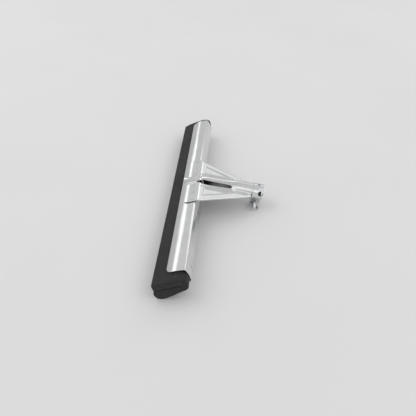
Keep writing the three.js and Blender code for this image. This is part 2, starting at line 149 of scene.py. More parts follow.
def bezier(p0, p1, p2, p3, steps):
    """Points after p0 up to p3 on a cubic curve."""
    points = []
    for k in range(1, steps + 1):
        t = k / steps
        a, b, c, d = (1 - t) ** 3, 3 * t * (1 - t) ** 2, 3 * t * t * (1 - t), t ** 3
        points.append((a * p0[0] + b * p1[0] + c * p2[0] + d * p3[0],
                       a * p0[1] + b * p1[1] + c * p2[1] + d * p3[1]))
    return points


def quadratic(p0, p1, p2, steps):
    c1 = (lerp(p0[0], p1[0], 2 / 3), lerp(p0[1], p1[1], 2 / 3))
    c2 = (lerp(p2[0], p1[0], 2 / 3), lerp(p2[1], p1[1], 2 / 3))
    return bezier(p0, c1, c2, p2, steps)


def straight(p0, p1, steps):
    return [(lerp(p0[0], p1[0], k / steps), lerp(p0[1], p1[1], k / steps)) for k in range(1, steps + 1)]


def grid_faces(rows, columns, closed=False, keep=None):
    faces = []
    for j in range(rows - 1):
        for i in range(columns if closed else columns - 1):
            if keep is None or keep(j, i):
                k = (i + 1) % columns
                faces.append((j * columns + i, j * columns + k,
                              (j + 1) * columns + k, (j + 1) * columns + i))
    return faces


def make(name, verts, faces, material):
    mesh = bpy.data.meshes.new(name)
    mesh.from_pydata([tuple(v) for v in verts], [], faces)
    mesh.validate()
    obj = bpy.data.objects.new(name, mesh)
    scene.collection.objects.link(obj)
    mesh.materials.append(material)
    tidy_mesh(mesh)
    return obj


def tidy_mesh(mesh):
    """Drops loose points and turns every face outwards."""
    bm = bmesh.new()
    bm.from_mesh(mesh)
    bmesh.ops.delete(bm, geom=[v for v in bm.verts if not v.link_faces], context="VERTS")
    bmesh.ops.recalc_face_normals(bm, faces=bm.faces)
    bm.to_mesh(mesh)
    bm.free()


def modifier(obj, kind, **settings):
    mod = obj.modifiers.new(kind.lower(), kind)
    for key, value in settings.items():
        setattr(mod, key, value)
    return mod


def apply_modifiers(obj, sharp_angle=38):
    """Bakes the modifiers into the mesh and shades it smooth with sharp edges kept."""
    bpy.context.view_layer.update()
    depsgraph = bpy.context.evaluated_depsgraph_get()
    mesh = bpy.data.meshes.new_from_object(obj.evaluated_get(depsgraph), depsgraph=depsgraph)
    mesh.name = obj.name
    obj.modifiers.clear()
    obj.data = mesh
    mesh.shade_smooth()
    mesh.set_sharp_from_angle(angle=math.radians(sharp_angle))
    return obj


def cut(obj, *cutters):
    """Subtracts the cutters from obj and removes them."""
    for cutter in cutters:
        modifier(obj, "BOOLEAN", operation="DIFFERENCE", object=cutter, solver="EXACT")
    apply_modifiers(obj)
    for cutter in cutters:
        bpy.data.objects.remove(cutter)
    return obj


def lathe(name, profile, material, segments=48, close=True):
    """Turns (radius, x) pairs in millimetres about the X axis."""
    rows = []
    for radius, x in profile:
        rows.append([Vector((x, radius * math.cos(a), radius * math.sin(a))) * MM
                     for a in (2 * math.pi * k / segments for k in range(segments))])
    verts = [p for row in rows for p in row]
    faces = grid_faces(len(rows), segments, closed=True)
    if close:
        faces.append(tuple(range(segments)))
        faces.append(tuple(range(len(verts) - segments, len(verts))))
    else:
        last = len(verts) - segments
        faces += [(last + k, last + (k + 1) % segments, (k + 1) % segments, k) for k in range(segments)]
    return make(name, verts, faces, material)


def round_cutter(name, radius, length, matrix, segments=32):
    """A plain cylinder along X used only for cutting."""
    cutter = lathe(name, [(radius, -length / 2), (radius, length / 2)], cutter_material, segments)
    cutter.data.transform(matrix)
    return cutter


# Turns things drawn with X along the blade and Y down the socket; their origin goes to (x, s, h).
SOCKET_TURN = Matrix.Rotation(-SOCKET_DROP, 4, "X")
SOCKET_AXIS = Vector((0, math.cos(SOCKET_DROP), -math.sin(SOCKET_DROP)))


def socket_matrix(x, s, h):
    return Matrix.Translation(socket_point(x, s, h)) @ SOCKET_TURN


def side_cutter(radius):
    """The hole in the socket's +X side, through which a screw can pin the handle."""
    tilt = Matrix.Rotation(-SIDE_HOLE_TILT, 4, "Y")
    out = Matrix.Translation((COLLAR_R * MM, 0, 0))
    return round_cutter("cutter", radius, 10, socket_matrix(0, SIDE_HOLE_S, -SHEET) @ tilt @ out)


def paint_inside_shade(obj, reach=14):
    """Gives the faces that look at the socket's axis the painted shade of its inside."""
    obj.data.materials.append(SHADED_INSIDE)
    inside = len(obj.data.materials) - 1
    for face in obj.data.polygons:
        along_socket = (face.center - socket_point(0, 0, -SHEET)).dot(SOCKET_AXIS)
        to_axis = socket_point(0, 0, -SHEET) + SOCKET_AXIS * along_socket - face.center
        looks_in = face.normal.dot(to_axis.normalized()) > 0.3 if along_socket > 0 else face.normal.z < -0.3
        if abs(to_axis.x) < reach * MM and looks_in:
            face.material_index = inside


def finish_piece(obj, body, slot, *nodes):
    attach(obj, body)
    if nodes:
        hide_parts(*nodes)
    return obj


# ---- materials -------------------------------------------------------------------------------
class Nodes:
    """Builds a node tree with short calls."""

    def __init__(self, name):
        self.material = bpy.data.materials.new(name)
        self.material.use_nodes = True
        self.tree = self.material.node_tree
        self.shader = self.tree.nodes["Principled BSDF"]
        self.coord = self.add("ShaderNodeTexCoord").outputs["Object"]

    def add(self, kind, **settings):
        node = self.tree.nodes.new(kind)
        for key, value in settings.items():
            setattr(node, key, value)
        return node

    def link(self, output, node, socket):
        self.tree.links.new(output, node.inputs[socket])

    def stretched(self, scale):
        node = self.add("ShaderNodeMapping")
        node.inputs["Scale"].default_value = scale
        self.link(self.coord, node, "Vector")
        return node.outputs["Vector"]

    def noise(self, scale, detail=3.0, roughness=0.5, vector=None):
        node = self.add("ShaderNodeTexNoise")
        node.inputs["Scale"].default_value = scale
        node.inputs["Detail"].default_value = detail
        node.inputs["Roughness"].default_value = roughness
        self.link(vector or self.coord, node, "Vector")
        return node.outputs["Fac"]

    def cells(self, scale, feature="F1", vector=None, output="Distance"):
        node = self.add("ShaderNodeTexVoronoi", feature=feature)
        node.inputs["Scale"].default_value = scale
        self.link(vector or self.coord, node, "Vector")
        return node.outputs[output]

    def ramp(self, value, stops):
        """Maps 0..1 to greys or colours given as (position, colour)."""
        node = self.add("ShaderNodeValToRGB")
        elements = node.color_ramp.elements
        while len(elements) < len(stops):
            elements.new(0.5)
        for element, (position, colour) in zip(elements, stops):
            element.position = position
            rgb = colour if hasattr(colour, "__len__") else (colour,) * 3
            element.color = (*rgb, 1)
        self.link(value, node, "Fac")
        return node.outputs["Color"]

    def math(self, operation, a, b):
        node = self.add("ShaderNodeMath", operation=operation)
        for socket, value in enumerate((a, b)):
            if isinstance(value, (int, float)):
                node.inputs[socket].default_value = value
            else:
                self.link(value, node, socket)
        return node.outputs["Value"]

    def mix(self, factor, a, b, blend="MIX"):
        node = self.add("ShaderNodeMix", data_type="RGBA", blend_type=blend)
        for socket, value in ((0, factor), (6, a), (7, b)):
            if isinstance(value, (int, float, tuple)):
                node.inputs[socket].default_value = value
            else:
                self.link(value, node, socket)
        return node.outputs[2]

    def bump(self, height, strength, distance, normal=None):
        node = self.add("ShaderNodeBump")
        node.inputs["Strength"].default_value = strength
        node.inputs["Distance"].default_value = distance
        self.link(height, node, "Height")
        if normal is not None:
            self.link(normal, node, "Normal")
        return node.outputs["Normal"]


def foam_rubber():
    n = Nodes("foam_rubber")
    pores = n.cells(1500)
    fine = n.noise(2600, detail=2)
    skin = n.noise(160, detail=4)
    cloud = n.noise(22, detail=3)
    base = n.ramp(cloud, [(0.3, (0.022, 0.022, 0.023)), (0.7, (0.032, 0.032, 0.033))])
    speck = n.ramp(pores, [(0.08, 0.45), (0.35, 1.0)])
    colour = n.mix(1.0, base, speck, "MULTIPLY")
    dust = n.ramp(skin, [(0.55, 0.0), (0.75, 0.16)])
    n.link(n.mix(dust, colour, (0.16, 0.16, 0.16, 1)), n.shader, "Base Color")
    n.link(n.ramp(skin, [(0.3, 0.86), (0.7, 0.98)]), n.shader, "Roughness")
    n.shader.inputs["Specular IOR Level"].default_value = 0.3
    n.shader.inputs["Sheen Weight"].default_value = 0.06
    n.shader.inputs["Sheen Roughness"].default_value = 0.6
    coarse = n.bump(skin, 0.35, 0.0006)
    grain = n.bump(pores, 0.5, 0.0003, coarse)
    n.link(n.bump(fine, 0.35, 0.0001, grain), n.shader, "Normal")
    return n.material


def zinc_sheet(name, tone, rough, waviness, streaks):
    """Zinc-coated sheet steel: rolled streaks, faint spangle, soft waves and handling marks."""
    n = Nodes(name)
    n.shader.inputs["Metallic"].default_value = 1.0
    rolled = n.noise(1.0, detail=5, roughness=0.6, vector=n.stretched((9, 420, 420)))
    spangle = n.cells(95, output="Color")
    cloud = n.noise(38, detail=4)
    smudge = n.noise(11, detail=5, roughness=0.6)
    base = n.ramp(cloud, [(0.3, tuple(0.94 * c for c in tone)), (0.7, tone)])
    base = n.mix(0.035, base, spangle, "SOFT_LIGHT")
    dull = n.ramp(smudge, [(0.52, 0.0), (0.72, 0.22)])
    colour = n.mix(dull, base, tuple(0.8 * c for c in tone) + (1,))
    n.link(colour, n.shader, "Base Color")
    worn = n.ramp(rolled, [(0.3, rough - 0.05), (0.7, rough + 0.07)])
    smeared = n.ramp(smudge, [(0.45, 0.0), (0.75, 0.07)])
    n.link(n.math("ADD", worn, smeared), n.shader, "Roughness")
    waves = n.bump(n.noise(26, detail=1), waviness, 0.0012)
    n.link(n.bump(rolled, streaks, 0.00004, waves), n.shader, "Normal")
    return n.material


def bright_zinc():
    """Bright plating on the small fittings, with a little dulling and fine grain."""
    n = Nodes("bright_zinc")
    n.shader.inputs["Metallic"].default_value = 1.0
    cloud = n.noise(120, detail=4)
    grain = n.noise(1800, detail=2)
    n.link(n.ramp(cloud, [(0.3, (0.68, 0.69, 0.7)), (0.7, (0.82, 0.83, 0.84))]), n.shader, "Base Color")
    n.link(n.ramp(cloud, [(0.3, 0.12), (0.75, 0.22)]), n.shader, "Roughness")
    n.link(n.bump(grain, 0.2, 0.00004), n.shader, "Normal")
    return n.material


def cast_zinc():
    """The wing nut's slightly grainy cast and plated skin."""
    n = Nodes("cast_zinc")
    n.shader.inputs["Metallic"].default_value = 1.0
    cloud = n.noise(240, detail=4)
    grain = n.cells(1900)
    n.link(n.ramp(cloud, [(0.3, (0.52, 0.53, 0.54)), (0.7, (0.68, 0.69, 0.7))]), n.shader, "Base Color")
    n.link(n.ramp(cloud, [(0.3, 0.16), (0.75, 0.28)]), n.shader, "Roughness")
    n.link(n.bump(grain, 0.2, 0.00008), n.shader, "Normal")
    return n.material


def shaded_inside():
    """The socket's inside: bare steel with painted shade, darkest at its closed end by the bend and
    darkening again towards its open end.
    """
    n = Nodes("shaded_inside")
    n.shader.inputs["Metallic"].default_value = 1.0
    cloud = n.noise(90, detail=4)
    grain = n.cells(1500)
    split = n.add("ShaderNodeSeparateXYZ")
    n.link(n.coord, split, "Vector")
    depth = n.add("ShaderNodeMapRange")
    depth.inputs["From Min"].default_value = -0.024
    depth.inputs["From Max"].default_value = 0.004
    n.link(split.outputs["Y"], depth, "Value")
    # Painted shade: darkest at the closed end by the bend, lighter further down the socket.
    closed_end_shade = n.ramp(depth.outputs["Result"], [(0.0, 0.07), (0.2, 0.16), (0.5, 0.6), (1.0, 0.8)])
    # More painted shade towards the socket's open end.
    open_end_shade = n.ramp(n.math("MULTIPLY", split.outputs["Y"], 12.0), [(0.45, 1.0), (0.8, 0.06)])
    tone = n.mix(1.0, closed_end_shade, open_end_shade, "MULTIPLY")
    n.link(n.mix(1.0, tone, n.ramp(cloud, [(0.3, 0.8), (0.7, 1.0)]), "MULTIPLY"), n.shader, "Base Color")
    n.link(n.ramp(cloud, [(0.3, 0.3), (0.75, 0.45)]), n.shader, "Roughness")
    n.link(n.bump(grain, 0.3, 0.0001), n.shader, "Normal")
    return n.material


def dull_edge_and_shade():
    """The sheared edge of the sheet: bare, dulled steel, painted darker still as the shadow in the gap
    under the edge.
    """
    n = Nodes("dull_edge_and_shade")
    n.shader.inputs["Metallic"].default_value = 1.0
    scratch = n.noise(1.0, detail=3, vector=n.stretched((60, 900, 900)))
    n.link(n.ramp(scratch, [(0.3, (0.17, 0.17, 0.17)), (0.7, (0.36, 0.36, 0.365))]), n.shader, "Base Color")
    n.link(n.ramp(scratch, [(0.3, 0.35), (0.7, 0.55)]), n.shader, "Roughness")
    n.link(n.bump(scratch, 0.4, 0.0001), n.shader, "Normal")
    return n.material


cutter_material = bpy.data.materials.new("cutter")
FOAM = foam_rubber()
CHANNEL_ZINC = zinc_sheet("zinc_channel", (0.745, 0.75, 0.755), 0.14, 0.04, 0.08)
BRACKET_ZINC = zinc_sheet("zinc_bracket", (0.745, 0.75, 0.755), 0.15, 0.05, 0.08)
# Painted shade for the socket's inside and for the channel's back under the bracket.
SHADED_INSIDE = shaded_inside()
# Dull cut edges, darkened further as painted shadow along the gaps under them.
DULL_EDGE_AND_SHADE = dull_edge_and_shade()
BRIGHT = bright_zinc()
CAST = cast_zinc()


# ---- foam blade ------------------------------------------------------------------------------
def blade_section(back):
    """The closed outline of the blade in (U, W), starting at the mouth of the slot."""
    points = [(0.3, SLOT_HALF)]
    points += straight(points[-1], (1.2, LIP_TOP - 1.6), 8)
    points += quadratic(points[-1], (1.3, LIP_TOP), (3.0, LIP_TOP), 6)
    points += straight(points[-1], (38, LIP_TOP), 22)
    points += bezier(points[-1], (46, LIP_TOP - 0.5), (back, 9), (back, 3), 12)
    points += bezier(points[-1], (back, -4), (back - 2.2, -8), (back - 7.2, -9.5), 10)
    points += straight(points[-1], (28, -13.8), 6)
    points += quadratic(points[-1], (16, -17.6), (8, -17.51), 12)
    points += bezier(points[-1], (2.4, -17.4), (-2.4, -13.5), (-2.4, -7.8), 12)
    points += quadratic(points[-1], (-2.4, -1.9), (0.9, -SLOT_HALF), 8)
    points += straight(points[-1], (SLOT_DEPTH, -SLOT_HALF), 14)
    for k in range(1, 6):
        angle = -math.pi / 2 + math.pi * k / 6
        points.append((SLOT_DEPTH + SLOT_HALF * math.cos(angle), SLOT_HALF * math.sin(angle)))
    points += straight((SLOT_DEPTH, SLOT_HALF), (0.3, SLOT_HALF), 14)[:-1]
    return points


def skew(u):
    """How far the -X end falls short at U."""
    return along([(-5, BLADE_SKEW + 3), (1, BLADE_SKEW), (12, 3), (24, 1), (BLADE_BACK, 0)], u)


def foam_blade():
    held, swollen = blade_section(BLADE_BACK), blade_section(BLADE_SWELL)
    near_edge, far_edge = SHIFT + CHANNEL_HALF, SHIFT - CHANNEL_HALF
    near_steps = (0, 0.8, 2, 4, 6, 8, 10, 12, 13.5, 15, 16.5, 18, 20, 23)
    far_steps = (25, 21, 17, 14, 12, 10.5, 9, 7.5, 6, 4, 2, 0.8, 0)
    stations = [BLADE_HALF - step for step in near_steps]
    stations += [stations[-1] - 8 * k for k in range(1, 50)]
    stations += [step - BLADE_HALF for step in far_steps]
    verts = []
    for x in stations:
        swell = max(smooth((x - near_edge + 2) / 5), smooth((far_edge + 1.5 - x) / 4))
        for (u0, w0), (u1, w1) in zip(held, swollen):
            u, w = lerp(u0, u1, swell), lerp(w0, w1, swell)
            # The lips were cut from a slab, so their faces waver a little along the length.
            free = smooth((24 - u) / 22) * (1 if abs(w) > 2 * SLOT_HALF else 0)
            waver = noise.noise(Vector((x * 0.012, u * 0.05, w * 0.05 + 3))) * 0.55
            ripple = noise.noise(Vector((x * 0.07, u * 0.12, w * 0.12 + 9))) * 0.16
            w = w - free * max(waver + ripple, 0) * (1 if w > 0 else -1)
            fall_short = skew(u) * smooth((-SKEW_START - x) / (BLADE_HALF - SKEW_START))
            verts.append(blade_point(x + fall_short, u, w))
    count = len(held)
    faces = grid_faces(len(stations), count, closed=True)
    faces.append(tuple(range(count)))
    faces.append(tuple(range(len(verts) - count, len(verts))))
    obj = make("foam_rubber_blade", verts, faces, FOAM)
    modifier(obj, "BEVEL", width=0.35 * MM, segments=2, limit_method="ANGLE", angle_limit=math.radians(50))
    apply_modifiers(obj, 45)
    finish_piece(obj, "head", "foam_rubber", "foam_blade")


# ---- channel ---------------------------------------------------------------------------------
# The corner where the channel's two upper planes would meet, and their slopes on each side of it.
RIDGE_U, RIDGE_W = 36, 15.83
RIDGE_RISE, RIDGE_FALL = 0.164, 0.155
CHANNEL_RIDGE_REACH, SADDLE_RIDGE_REACH = 6, 4


def channel_top(u, reach=CHANNEL_RIDGE_REACH):
    """The channel's outer face over the blade: two planes that meet in a rounded ridge."""
    over = min(max(u - RIDGE_U + reach, 0), 2 * reach)
    beyond = max(u - RIDGE_U - reach, 0)
    turn = RIDGE_RISE + RIDGE_FALL
    return RIDGE_W + (u - RIDGE_U) * RIDGE_RISE - turn * (over ** 2 / (4 * reach) + beyond)


def rounded(corners, reach, steps=7):
    """A polyline whose middle corners are rounded to the given reach."""
    points = [corners[0]]
    for before, corner, after in zip(corners, corners[1:], corners[2:]):
        ends = []
        for other in (before, after):
            dx, dy = other[0] - corner[0], other[1] - corner[1]
            size = math.hypot(dx, dy)
            ends.append((corner[0] + dx / size * reach, corner[1] + dy / size * reach))
        points.append(ends[0])
        points += quadratic(ends[0], corner, ends[1], steps)
    points.append(corners[-1])
    return points


def channel_line():
    """The channel's outer face in (U, W), from the lip over the blade to the lip under it."""
    top = [(u, channel_top(u) - drop) for u, drop in ((LIP_U, 0.25), (LIP_U + 0.4, 0.05))]
    top += [(u, channel_top(u)) for u in (
        23.4, 24.5, 26, 27.2, 28.4, 29.4, 30.2, 31.2, 32.2, 33.2, 34.2, 35.1,
        36, 36.9, 37.8, 38.8, 39.8, 40.8, 41.8, 42.6, 43.4)]
    corners = [top.pop(), (51.7, 13.4), (53.4, 3), (52.9, -9.7), (LOWER_LIP_U, -15.8)]
    line = top + rounded(corners, 3.2)
    last = line.pop()
    return line + straight(line[-1], last, 6)


def corner_pull(u, w):
    """How much shorter the sheet is at its ends where the lip's corners are rounded."""
    if w > 0:
        return pull_for(u - LIP_U, LIP_CORNER_R)
    return pull_for(u - LOWER_LIP_U, LIP_CORNER_R / 2)


def pull_for(distance, radius):
    """How far a corner of this radius draws the edge back, at this distance from the side."""
    if distance >= radius:
        return 0.0
    return radius - math.sqrt(max(radius ** 2 - (radius - distance) ** 2, 0.0))


def blade_channel():
    line = channel_line()
    last_band = 24
    inner = CHANNEL_HALF - last_band
    ends = [0, 0.6, 1.5, 3, 5, 7.5, 10.5, 14, 18, last_band]
    stations = [CHANNEL_HALF - e for e in ends] + [inner - 8 * k for k in range(1, 47)]
    stations += [-CHANNEL_HALF + e for e in reversed(ends)]
    verts = []
    for x in stations:
        for u, w in line:
            over = max(abs(x) - inner, 0.0)
            share = (last_band - corner_pull(u, w)) / last_band
            x_here = math.copysign(min(abs(x), inner) + over * share, x)
            wave = noise.noise(Vector((x * 0.013, u * 0.08, w * 0.08))) * 0.1
            verts.append(blade_point(x_here + SHIFT, u, w - abs(wave) * smooth((50 - u) / 6)))
    obj = make("zinc_blade_channel", verts, grid_faces(len(stations), len(line)), CHANNEL_ZINC)
    face_out(obj, blade_point(0, 35, 0))
    modifier(obj, "SOLIDIFY", thickness=CHANNEL_SHEET * MM, offset=-1)
    modifier(obj, "BEVEL", width=0.22 * MM, segments=2, limit_method="ANGLE", angle_limit=math.radians(60))
    apply_modifiers(obj)
    cut(obj, *[lance_cutter(x) for x in LANCE_AT])
    shade_under_bracket(obj)
    return finish_piece(obj, "head", "zinc_steel", "blade_channel")


def shade_under_bracket(obj):
    """Where the bracket's cavity covers the channel's back, it gets the same painted shade as the socket's
    inside.
    """
    obj.data.materials.append(SHADED_INSIDE)
    half, start = 12 * MM, blade_point(SHIFT, 46.3, 0)
    for face in obj.data.polygons:
        if abs(face.center.x - start.x) < half and face.center.y > start.y:
            face.material_index = 1


def face_out(obj, centre):
    """Turns the faces of an open sheet away from a point inside its bend."""
    mesh = obj.data
    score = sum((p.center - centre).dot(p.normal) * p.area for p in mesh.polygons)
    if score < 0:
        mesh.flip_normals()


def lance_cutter(x):
    """The slit beside a pressed tongue: a thin wedge, wider at its lower end."""
    top, bottom, depth = 4.0, -5.4, 3.0
    outline = [(-0.25, top), (0.25, top), (0.75, bottom + 0.6), (0.4, bottom), (-0.6, bottom)]
    lean = 0.17
    verts = []
    for u in (53 - depth, 53 + depth):
        verts += [blade_point(x + across - lean * w, u, w) for across, w in outline]
    count = len(outline)
    faces = grid_faces(2, count, closed=True) + [tuple(range(count)), tuple(range(count, 2 * count))]
    return make("cutter", verts, faces, cutter_material)


# ---- bracket ---------------------------------------------------------------------------------
# Heights and half widths down the socket, by S: the bead, the strap above the side windows with its
# lower edge, the windows' outer side and the raised rim beside it.
HEIGHTS = [(0, 4.7), (12, 7.1), (30, 7.7), (44, 8.3), (58, 9.9), (70, 11.1), (78, 11.3)]
STRAP_HALF = [(0, BEAD_HALF), (6, 6), (12, 6.8), (22, 7.5), (48, 7.8), (WINDOW_END, 8.8)]
SADDLE_ROWS = (
    (29.6, 46, 8.6), (30.0, 50.2, 8.5), (31, 54.4, 8.3), (33, 58, 7.8), (36, 60.2, 7.0),
    (39, SADDLE_HALF, 6.4), (42, 60.8, 5.9), (46, 60.2, 5.4), (48.6, 59.8, 5.1), (49.8, 59.6, 5.0),
    (51, 59.4, 4.9), (52.2, 59.3, 4.75))
SOCKET_ROWS = (
    0.4, 1.2, 2, 3, 5, 7, 7.8, 8.5, 9.2, 10.2, 12, 15, 18, 22, 26, 30, 34, 38, 42, 46, 50,
    WINDOW_END, 58, 60, 62.5, WINDOW_END + FLARE, 70, 74, 78, 82, 85, 87, 89,
    WINGS_END, 91.5, 95, 101, 106, 110.4, SOCKET_END)
OPENING_START = 48.6
WINDOW_SIDE = [(0, 8), (3, 10.2), (6, 11.6), (12, 12.6), (WINDOW_END, 12.6)]
STRAP_EDGE = [(0, 1.4), (1.2, 2.8), (3, 4.2), (6, 4.8), (12, 5.3), (22, 5.6), (40, 5.9),
              (WINDOW_END, 6.3)]
RIM = [(0, 0.3), (12, 0.4), (30, 1.4), (WINDOW_END, 2.2)]
CROWN_ANGLES = (90, 76, 62, 48, 36)
ROOT_ANGLES = (20, 6)
PANEL_START = 7
PANEL_WALL = 3.0
PANEL_DEPTH = 1.8
BEND_REACH = 3.2
BEND_HALF_TURN = math.radians(12.6)
PANEL_INNER = 19.5
PANEL_MARGIN = 12
WELDS_AT = (-54, -35.5, -16, 16, 35.5, 54)


def bend_drop(distance):
    """How far the rounded bend lies under the corner of its two planes."""
    return math.tan(BEND_HALF_TURN) * max(BEND_REACH - distance, 0) ** 2 / (2 * BEND_REACH)


def wing_half(s):
    return WING_START_HALF - WING_TAPER * s


def wing_columns(half, depth, fold):
    crease = min(18, half - 4.5)
    panel_outer = half - PANEL_MARGIN
    space = max(panel_outer - PANEL_INNER, 0)
    wall = min(PANEL_WALL, space / 2)
    sunk = -depth * min(1, space / 6)
    inner = min(PANEL_INNER, lerp(crease, half - 4, 0.3))
    outer = panel_outer if space > 0 else lerp(inner, half - 4, 0.5)
    return [
        (crease - 0.7, 0.0), (crease, -0.35 * fold), (crease + 0.6, 0.0),
        (inner, 0.0), (inner + 0.25 * wall, 0.15 * sunk),
        (inner + 0.75 * wall, 0.85 * sunk), (inner + wall + 0.1, sunk),
        (lerp(inner + wall, outer - wall, 0.5), sunk),
        (outer - wall - 0.1, sunk), (outer - 0.75 * wall, 0.85 * sunk), (outer - 0.25 * wall, 0.15 * sunk),
        (outer + 0.2, 0.0), (half - 3.6, 0.0), (half - 2.2, -0.12 * fold),
        (half - 1.2, -0.6 * fold), (half - 0.4, -1.5 * fold), (half, -2.4 * fold),
    ]


def whole_row(half, place):
    left = [place(-x, h) for x, h in reversed(half[1:])]
    return left + [place(x, h) for x, h in half]


def saddle_row(u, half, bead_height):
    """One row across the saddle; the windows begin a little before its end."""
    last = len(CROWN_ANGLES) - 1
    opening = clamp01((u - OPENING_START) / (SADDLE_END - OPENING_START))
    foot = STRAP_EDGE[0][1] * opening
    bead = []
    for k in range(len(CROWN_ANGLES)):
        angle = (last - k) / last * math.pi / 2
        bead.append((BEAD_HALF * math.cos(angle), foot + (bead_height - foot) * math.sin(angle)))
    window_side = lerp(BEAD_HALF + 1.5, WINDOW_SIDE[0][1], opening)
    columns = bead + [(window_side, 0.0), (TUBE_R + 0.6, 0.0)] + wing_columns(half, 0, 0)
    w = channel_top(u, SADDLE_RIDGE_REACH) + GAP + SHEET - bend_drop(SADDLE_END - u)
    return whole_row(columns, lambda x, h: blade_point(x + SHIFT, u, w + h))


def socket_half(s):
    """Half a row across the bead and strap, which grows into the round socket past the windows."""
    def tube(degrees):
        angle = math.radians(degrees)
        return (TUBE_R * math.cos(angle), TUBE_R * math.sin(angle) - SHEET)

    whole = [tube(a) for a in CROWN_ANGLES + ROOT_ANGLES]
    if s >= WINDOW_END + FLARE:
        return whole
    blend = smooth((s - WINDOW_END) / FLARE)
    half, edge, top = along(STRAP_HALF, s), along(STRAP_EDGE, s), along(HEIGHTS, s)
    strap = []
    widest = math.radians(72)
    for k in range(len(CROWN_ANGLES)):
        angle = k / (len(CROWN_ANGLES) - 1) * widest
        drop = (1 - math.cos(angle)) / (1 - math.cos(widest))
        strap.append((half * math.sin(angle) / math.sin(widest), top - (top - edge) * drop))
    rise = along(RIM, s)
    strap += [(along(WINDOW_SIDE, s), rise), (TUBE_R + 0.6, 0.65 * rise)]
    return [(lerp(x, whole[k][0], blend), lerp(h, whole[k][1], blend)) for k, (x, h) in enumerate(strap)]


def socket_row(s):
    depth = PANEL_DEPTH * smooth((s - PANEL_START) / PANEL_WALL)
    fold = clamp01((s - 1) / 5)
    wing = wing_columns(wing_half(min(s, WINGS_END)), depth, fold)
    return whole_row(socket_half(s) + wing, lambda x, h: socket_point(x, s, h - bend_drop(s)))


def bracket_upper():
    rows = [saddle_row(*row) for row in SADDLE_ROWS] + [socket_row(s) for s in SOCKET_ROWS]
    columns = len(rows[0])
    centre = (columns - 1) // 2
    edge = len(CROWN_ANGLES) - 1
    outer_tube = edge + len(ROOT_ANGLES)
    first_window = sum(1 for row in SADDLE_ROWS if row[0] <= OPENING_START)
    last_window = len(SADDLE_ROWS) + SOCKET_ROWS.index(WINDOW_END)
    wings_end = len(SADDLE_ROWS) + SOCKET_ROWS.index(WINGS_END)

    def keep(j, i):
        column = centre - 1 - i if i < centre else i - centre
        if j >= wings_end and column >= outer_tube:
            return False
        return not (column == edge and first_window <= j < last_window)

    verts = [p for row in rows for p in row]
    obj = make("zinc_bracket_upper", verts, grid_faces(len(rows), columns, keep=keep), BRACKET_ZINC)
    face_out(obj, socket_point(0, 30, -60))
    # The sheet's rims take the dark edge material: dull cut steel plus painted shadow of the gap beneath.
    obj.data.materials.append(DULL_EDGE_AND_SHADE)
    modifier(obj, "SUBSURF", levels=2, render_levels=2)
    modifier(obj, "SOLIDIFY", thickness=SHEET * MM, offset=-1, material_offset_rim=1)
    modifier(obj, "BEVEL", width=0.2 * MM, segments=2, limit_method="ANGLE", angle_limit=math.radians(60))
    apply_modifiers(obj)
    nail = round_cutter("cutter", 1.8, 8, socket_matrix(0, BOLT_S, TUBE_R - SHEET)
                        @ Matrix.Rotation(math.pi / 2, 4, "Y"))
    cut(obj, nail, side_cutter(SCREW_HOLE_R), *[weld_cutter(x) for x in WELDS_AT])
    paint_inside_shade(obj)
    return finish_piece(obj, "head", "zinc_steel", "bracket_upper")


def weld_cutter(x, u=46.5, depth=0.5, radius=1.3):
    """A ball that leaves a small dull dish, as a spot weld does."""
    rows, segments = [], 32
    for k in range(1, 16):
        polar = math.pi * k / 16
        rows.append([Vector((radius * math.sin(polar) * math.cos(a), radius * math.sin(polar) * math.sin(a),
                             radius * math.cos(polar))) * MM
                     for a in (2 * math.pi * i / segments for i in range(segments))])
    verts = [p for row in rows for p in row]
    faces = grid_faces(len(rows), segments, closed=True)
    faces += [tuple(range(segments)), tuple(range(len(verts) - segments, len(verts)))]
    ball = make("cutter", verts, faces, cutter_material)
    ball.data.materials.append(DULL_EDGE_AND_SHADE)
    ball.data.polygons.foreach_set("material_index", [1] * len(faces))
    w = channel_top(u) + GAP + SHEET + radius - depth
    ball.data.transform(Matrix.Translation(blade_point(x + SHIFT, u, w)))
    return ball


def trough_half(depth, corner):
    side = TUBE_R - SHEET
    arc = []
    for k in range(1, 8):
        angle = k / 7 * math.pi / 2
        arc.append((side - corner + corner * math.cos(angle), corner - depth - corner * math.sin(angle)))
    return [(17.4, -1.6), (15.6, -1.6), (13.6, -1.7), (12.2, -2.1), (side, -2.9), (side, -4.5)] + arc \
        + [(4, -depth), (0, -depth)]


def trough_row(half, place):
    return [place(-x, h) for x, h in half] + [place(x, h) for x, h in reversed(half[:-1])]


def bracket_lower():
    shares = (0, 0.02, 0.08, 0.2, 0.35, 0.5, 0.65, 0.8, 0.9, 1)
    rows = []
    for share in shares:
        depth = lerp(TROUGH_DEPTH, TUBE_R, min(share * 1.1, 1))

        def place(x, h, share=share):
            return socket_point(x, lerp(TROUGH_CLEAR - h * WALL_LEAN, TROUGH_SQUARE_END, share), h)
        rows.append(trough_row(trough_half(depth, 4), place))
    round_half = trough_half(TUBE_R, TUBE_R - SHEET - 0.01)
    for s in (COLLAR_START - 1, 96, 101, 106, 110.4, SOCKET_END):
        rows.append(trough_row(round_half, lambda x, h, s=s: socket_point(x, s, h)))
    columns = len(rows[0])
    flange = 4

    def keep(j, i):
        return j < len(shares) - 1 or flange <= i < columns - 1 - flange

    verts = [p for row in rows for p in row]
    obj = make("zinc_bracket_lower", verts, grid_faces(len(rows), columns, keep=keep), BRACKET_ZINC)
    face_out(obj, socket_point(0, 55, 10))
    modifier(obj, "SUBSURF", levels=2, render_levels=2)
    modifier(obj, "SOLIDIFY", thickness=SHEET * MM, offset=1)
    modifier(obj, "BEVEL", width=0.2 * MM, segments=2, limit_method="ANGLE", angle_limit=math.radians(60))
    apply_modifiers(obj)
    paint_inside_shade(obj)
    return finish_piece(obj, "head", "zinc_steel", "bracket_lower")


